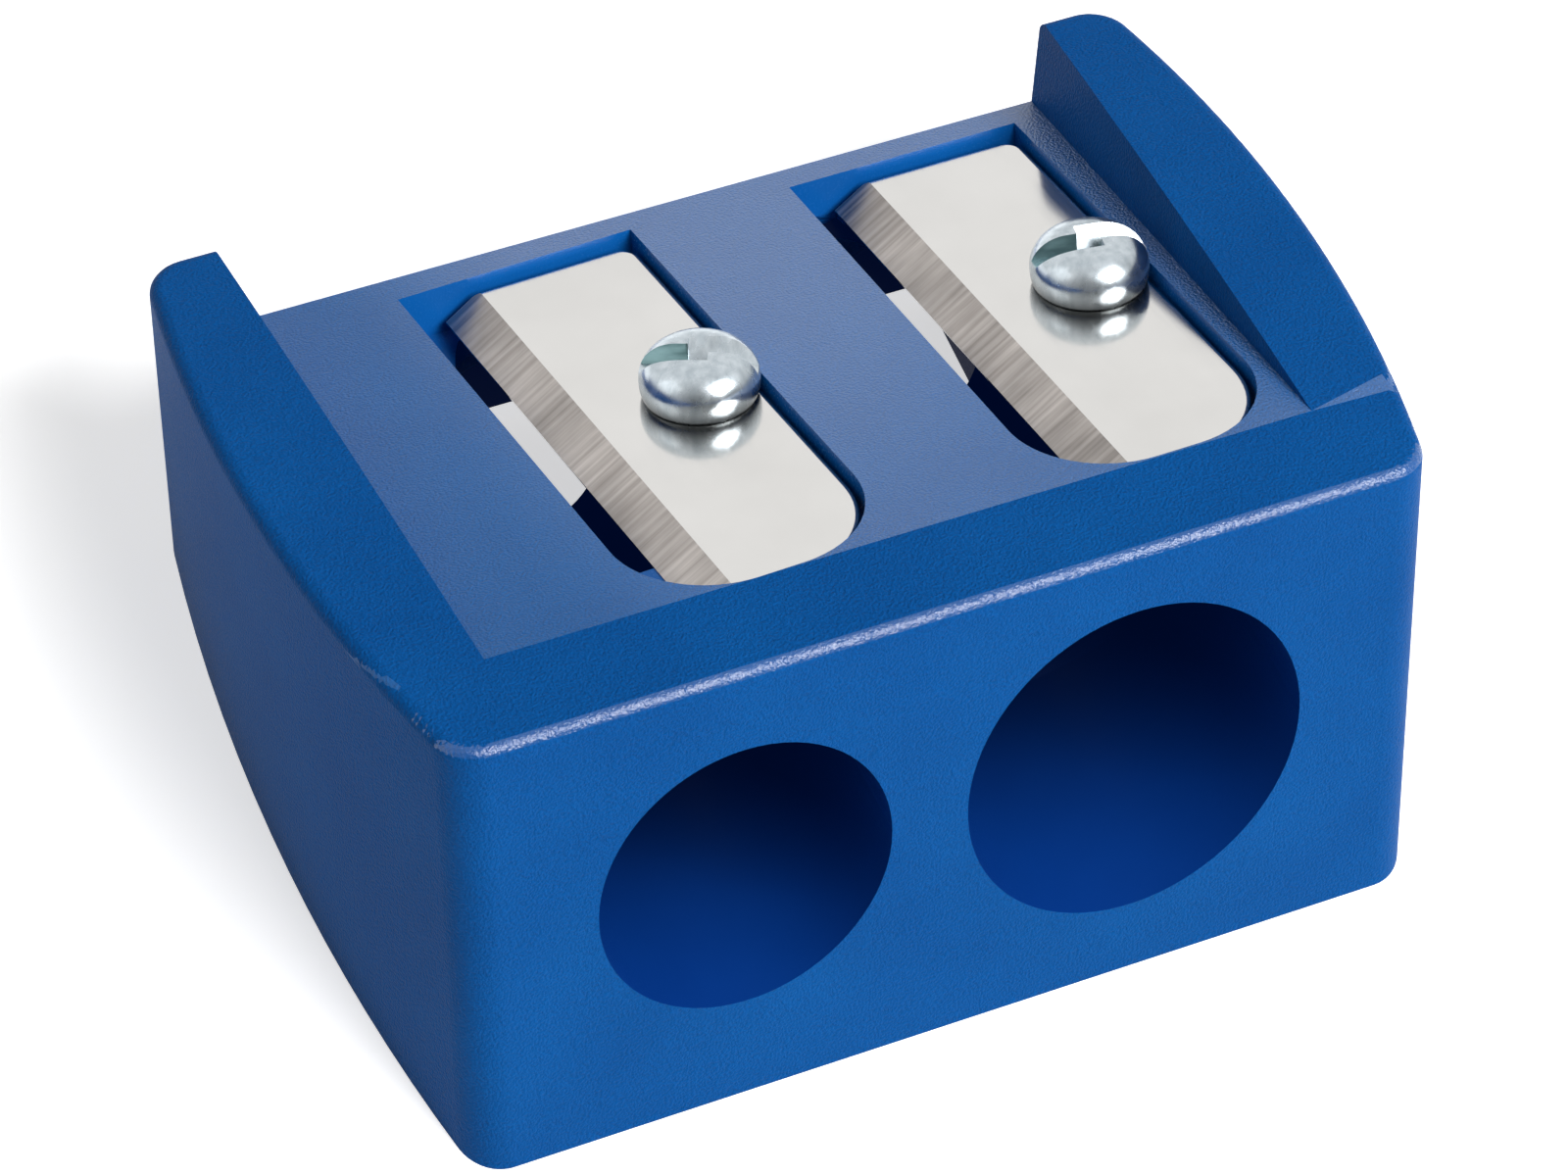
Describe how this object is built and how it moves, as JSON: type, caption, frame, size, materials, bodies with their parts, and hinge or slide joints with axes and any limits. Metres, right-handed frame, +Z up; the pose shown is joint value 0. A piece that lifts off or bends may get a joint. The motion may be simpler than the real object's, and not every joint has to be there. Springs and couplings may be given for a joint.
{
  "type": "pencil sharpener",
  "caption": "Hand-held wedge sharpener: bowed blue moulding with a slim and a thick pencil bore, screwed-on ground blades in sunk pockets, side fins and a flat underside.",
  "frame": {"origin": "centre of the body's footprint box on the surface that it lies on", "axes": "+Z up from the flat underside, -Y towards the pencil mouths, +X to the large bore"},
  "size_m": [0.0426, 0.0342, 0.0186],
  "materials": {
    "body_plastic": "fine spark-eroded",
    "blade_steel": "polished flat, ground bevel",
    "screw_zinc": "bright zinc plate"
  },
  "bodies": {
    "body": {"body": "body_plastic"},
    "small_blade": {"small_blade": "blade_steel"},
    "small_screw": {"small_screw": "screw_zinc"},
    "large_blade": {"large_blade": "blade_steel"},
    "large_screw": {"large_screw": "screw_zinc"}
  },
  "joints": [
    {"name": "small_blade_lift", "type": "slide", "parent": "body", "child": "small_blade", "axis": [0, 0.4107, 0.9118], "range_m": [0, 0.0065]},
    {"name": "small_screw_turn", "type": "hinge", "parent": "small_blade", "child": "small_screw", "pos_m": [-0.00275, 0.00485, 0.01242], "axis": [0, 0.4107, 0.9118], "range_deg": [0, 2340]},
    {"name": "large_blade_lift", "type": "slide", "parent": "body", "child": "large_blade", "axis": [0, 0.4107, 0.9118], "range_m": [0, 0.0065]},
    {"name": "large_screw_turn", "type": "hinge", "parent": "large_blade", "child": "large_screw", "pos_m": [0.01345, 0.00485, 0.01242], "axis": [0, 0.4107, 0.9118], "range_deg": [0, 2340]}
  ],
  "couplings": [
    {"joint": "small_screw_turn", "follows": "small_blade_lift", "rad_per_m": 6283.2},
    {"joint": "large_screw_turn", "follows": "large_blade_lift", "rad_per_m": 6283.2}
  ]
}
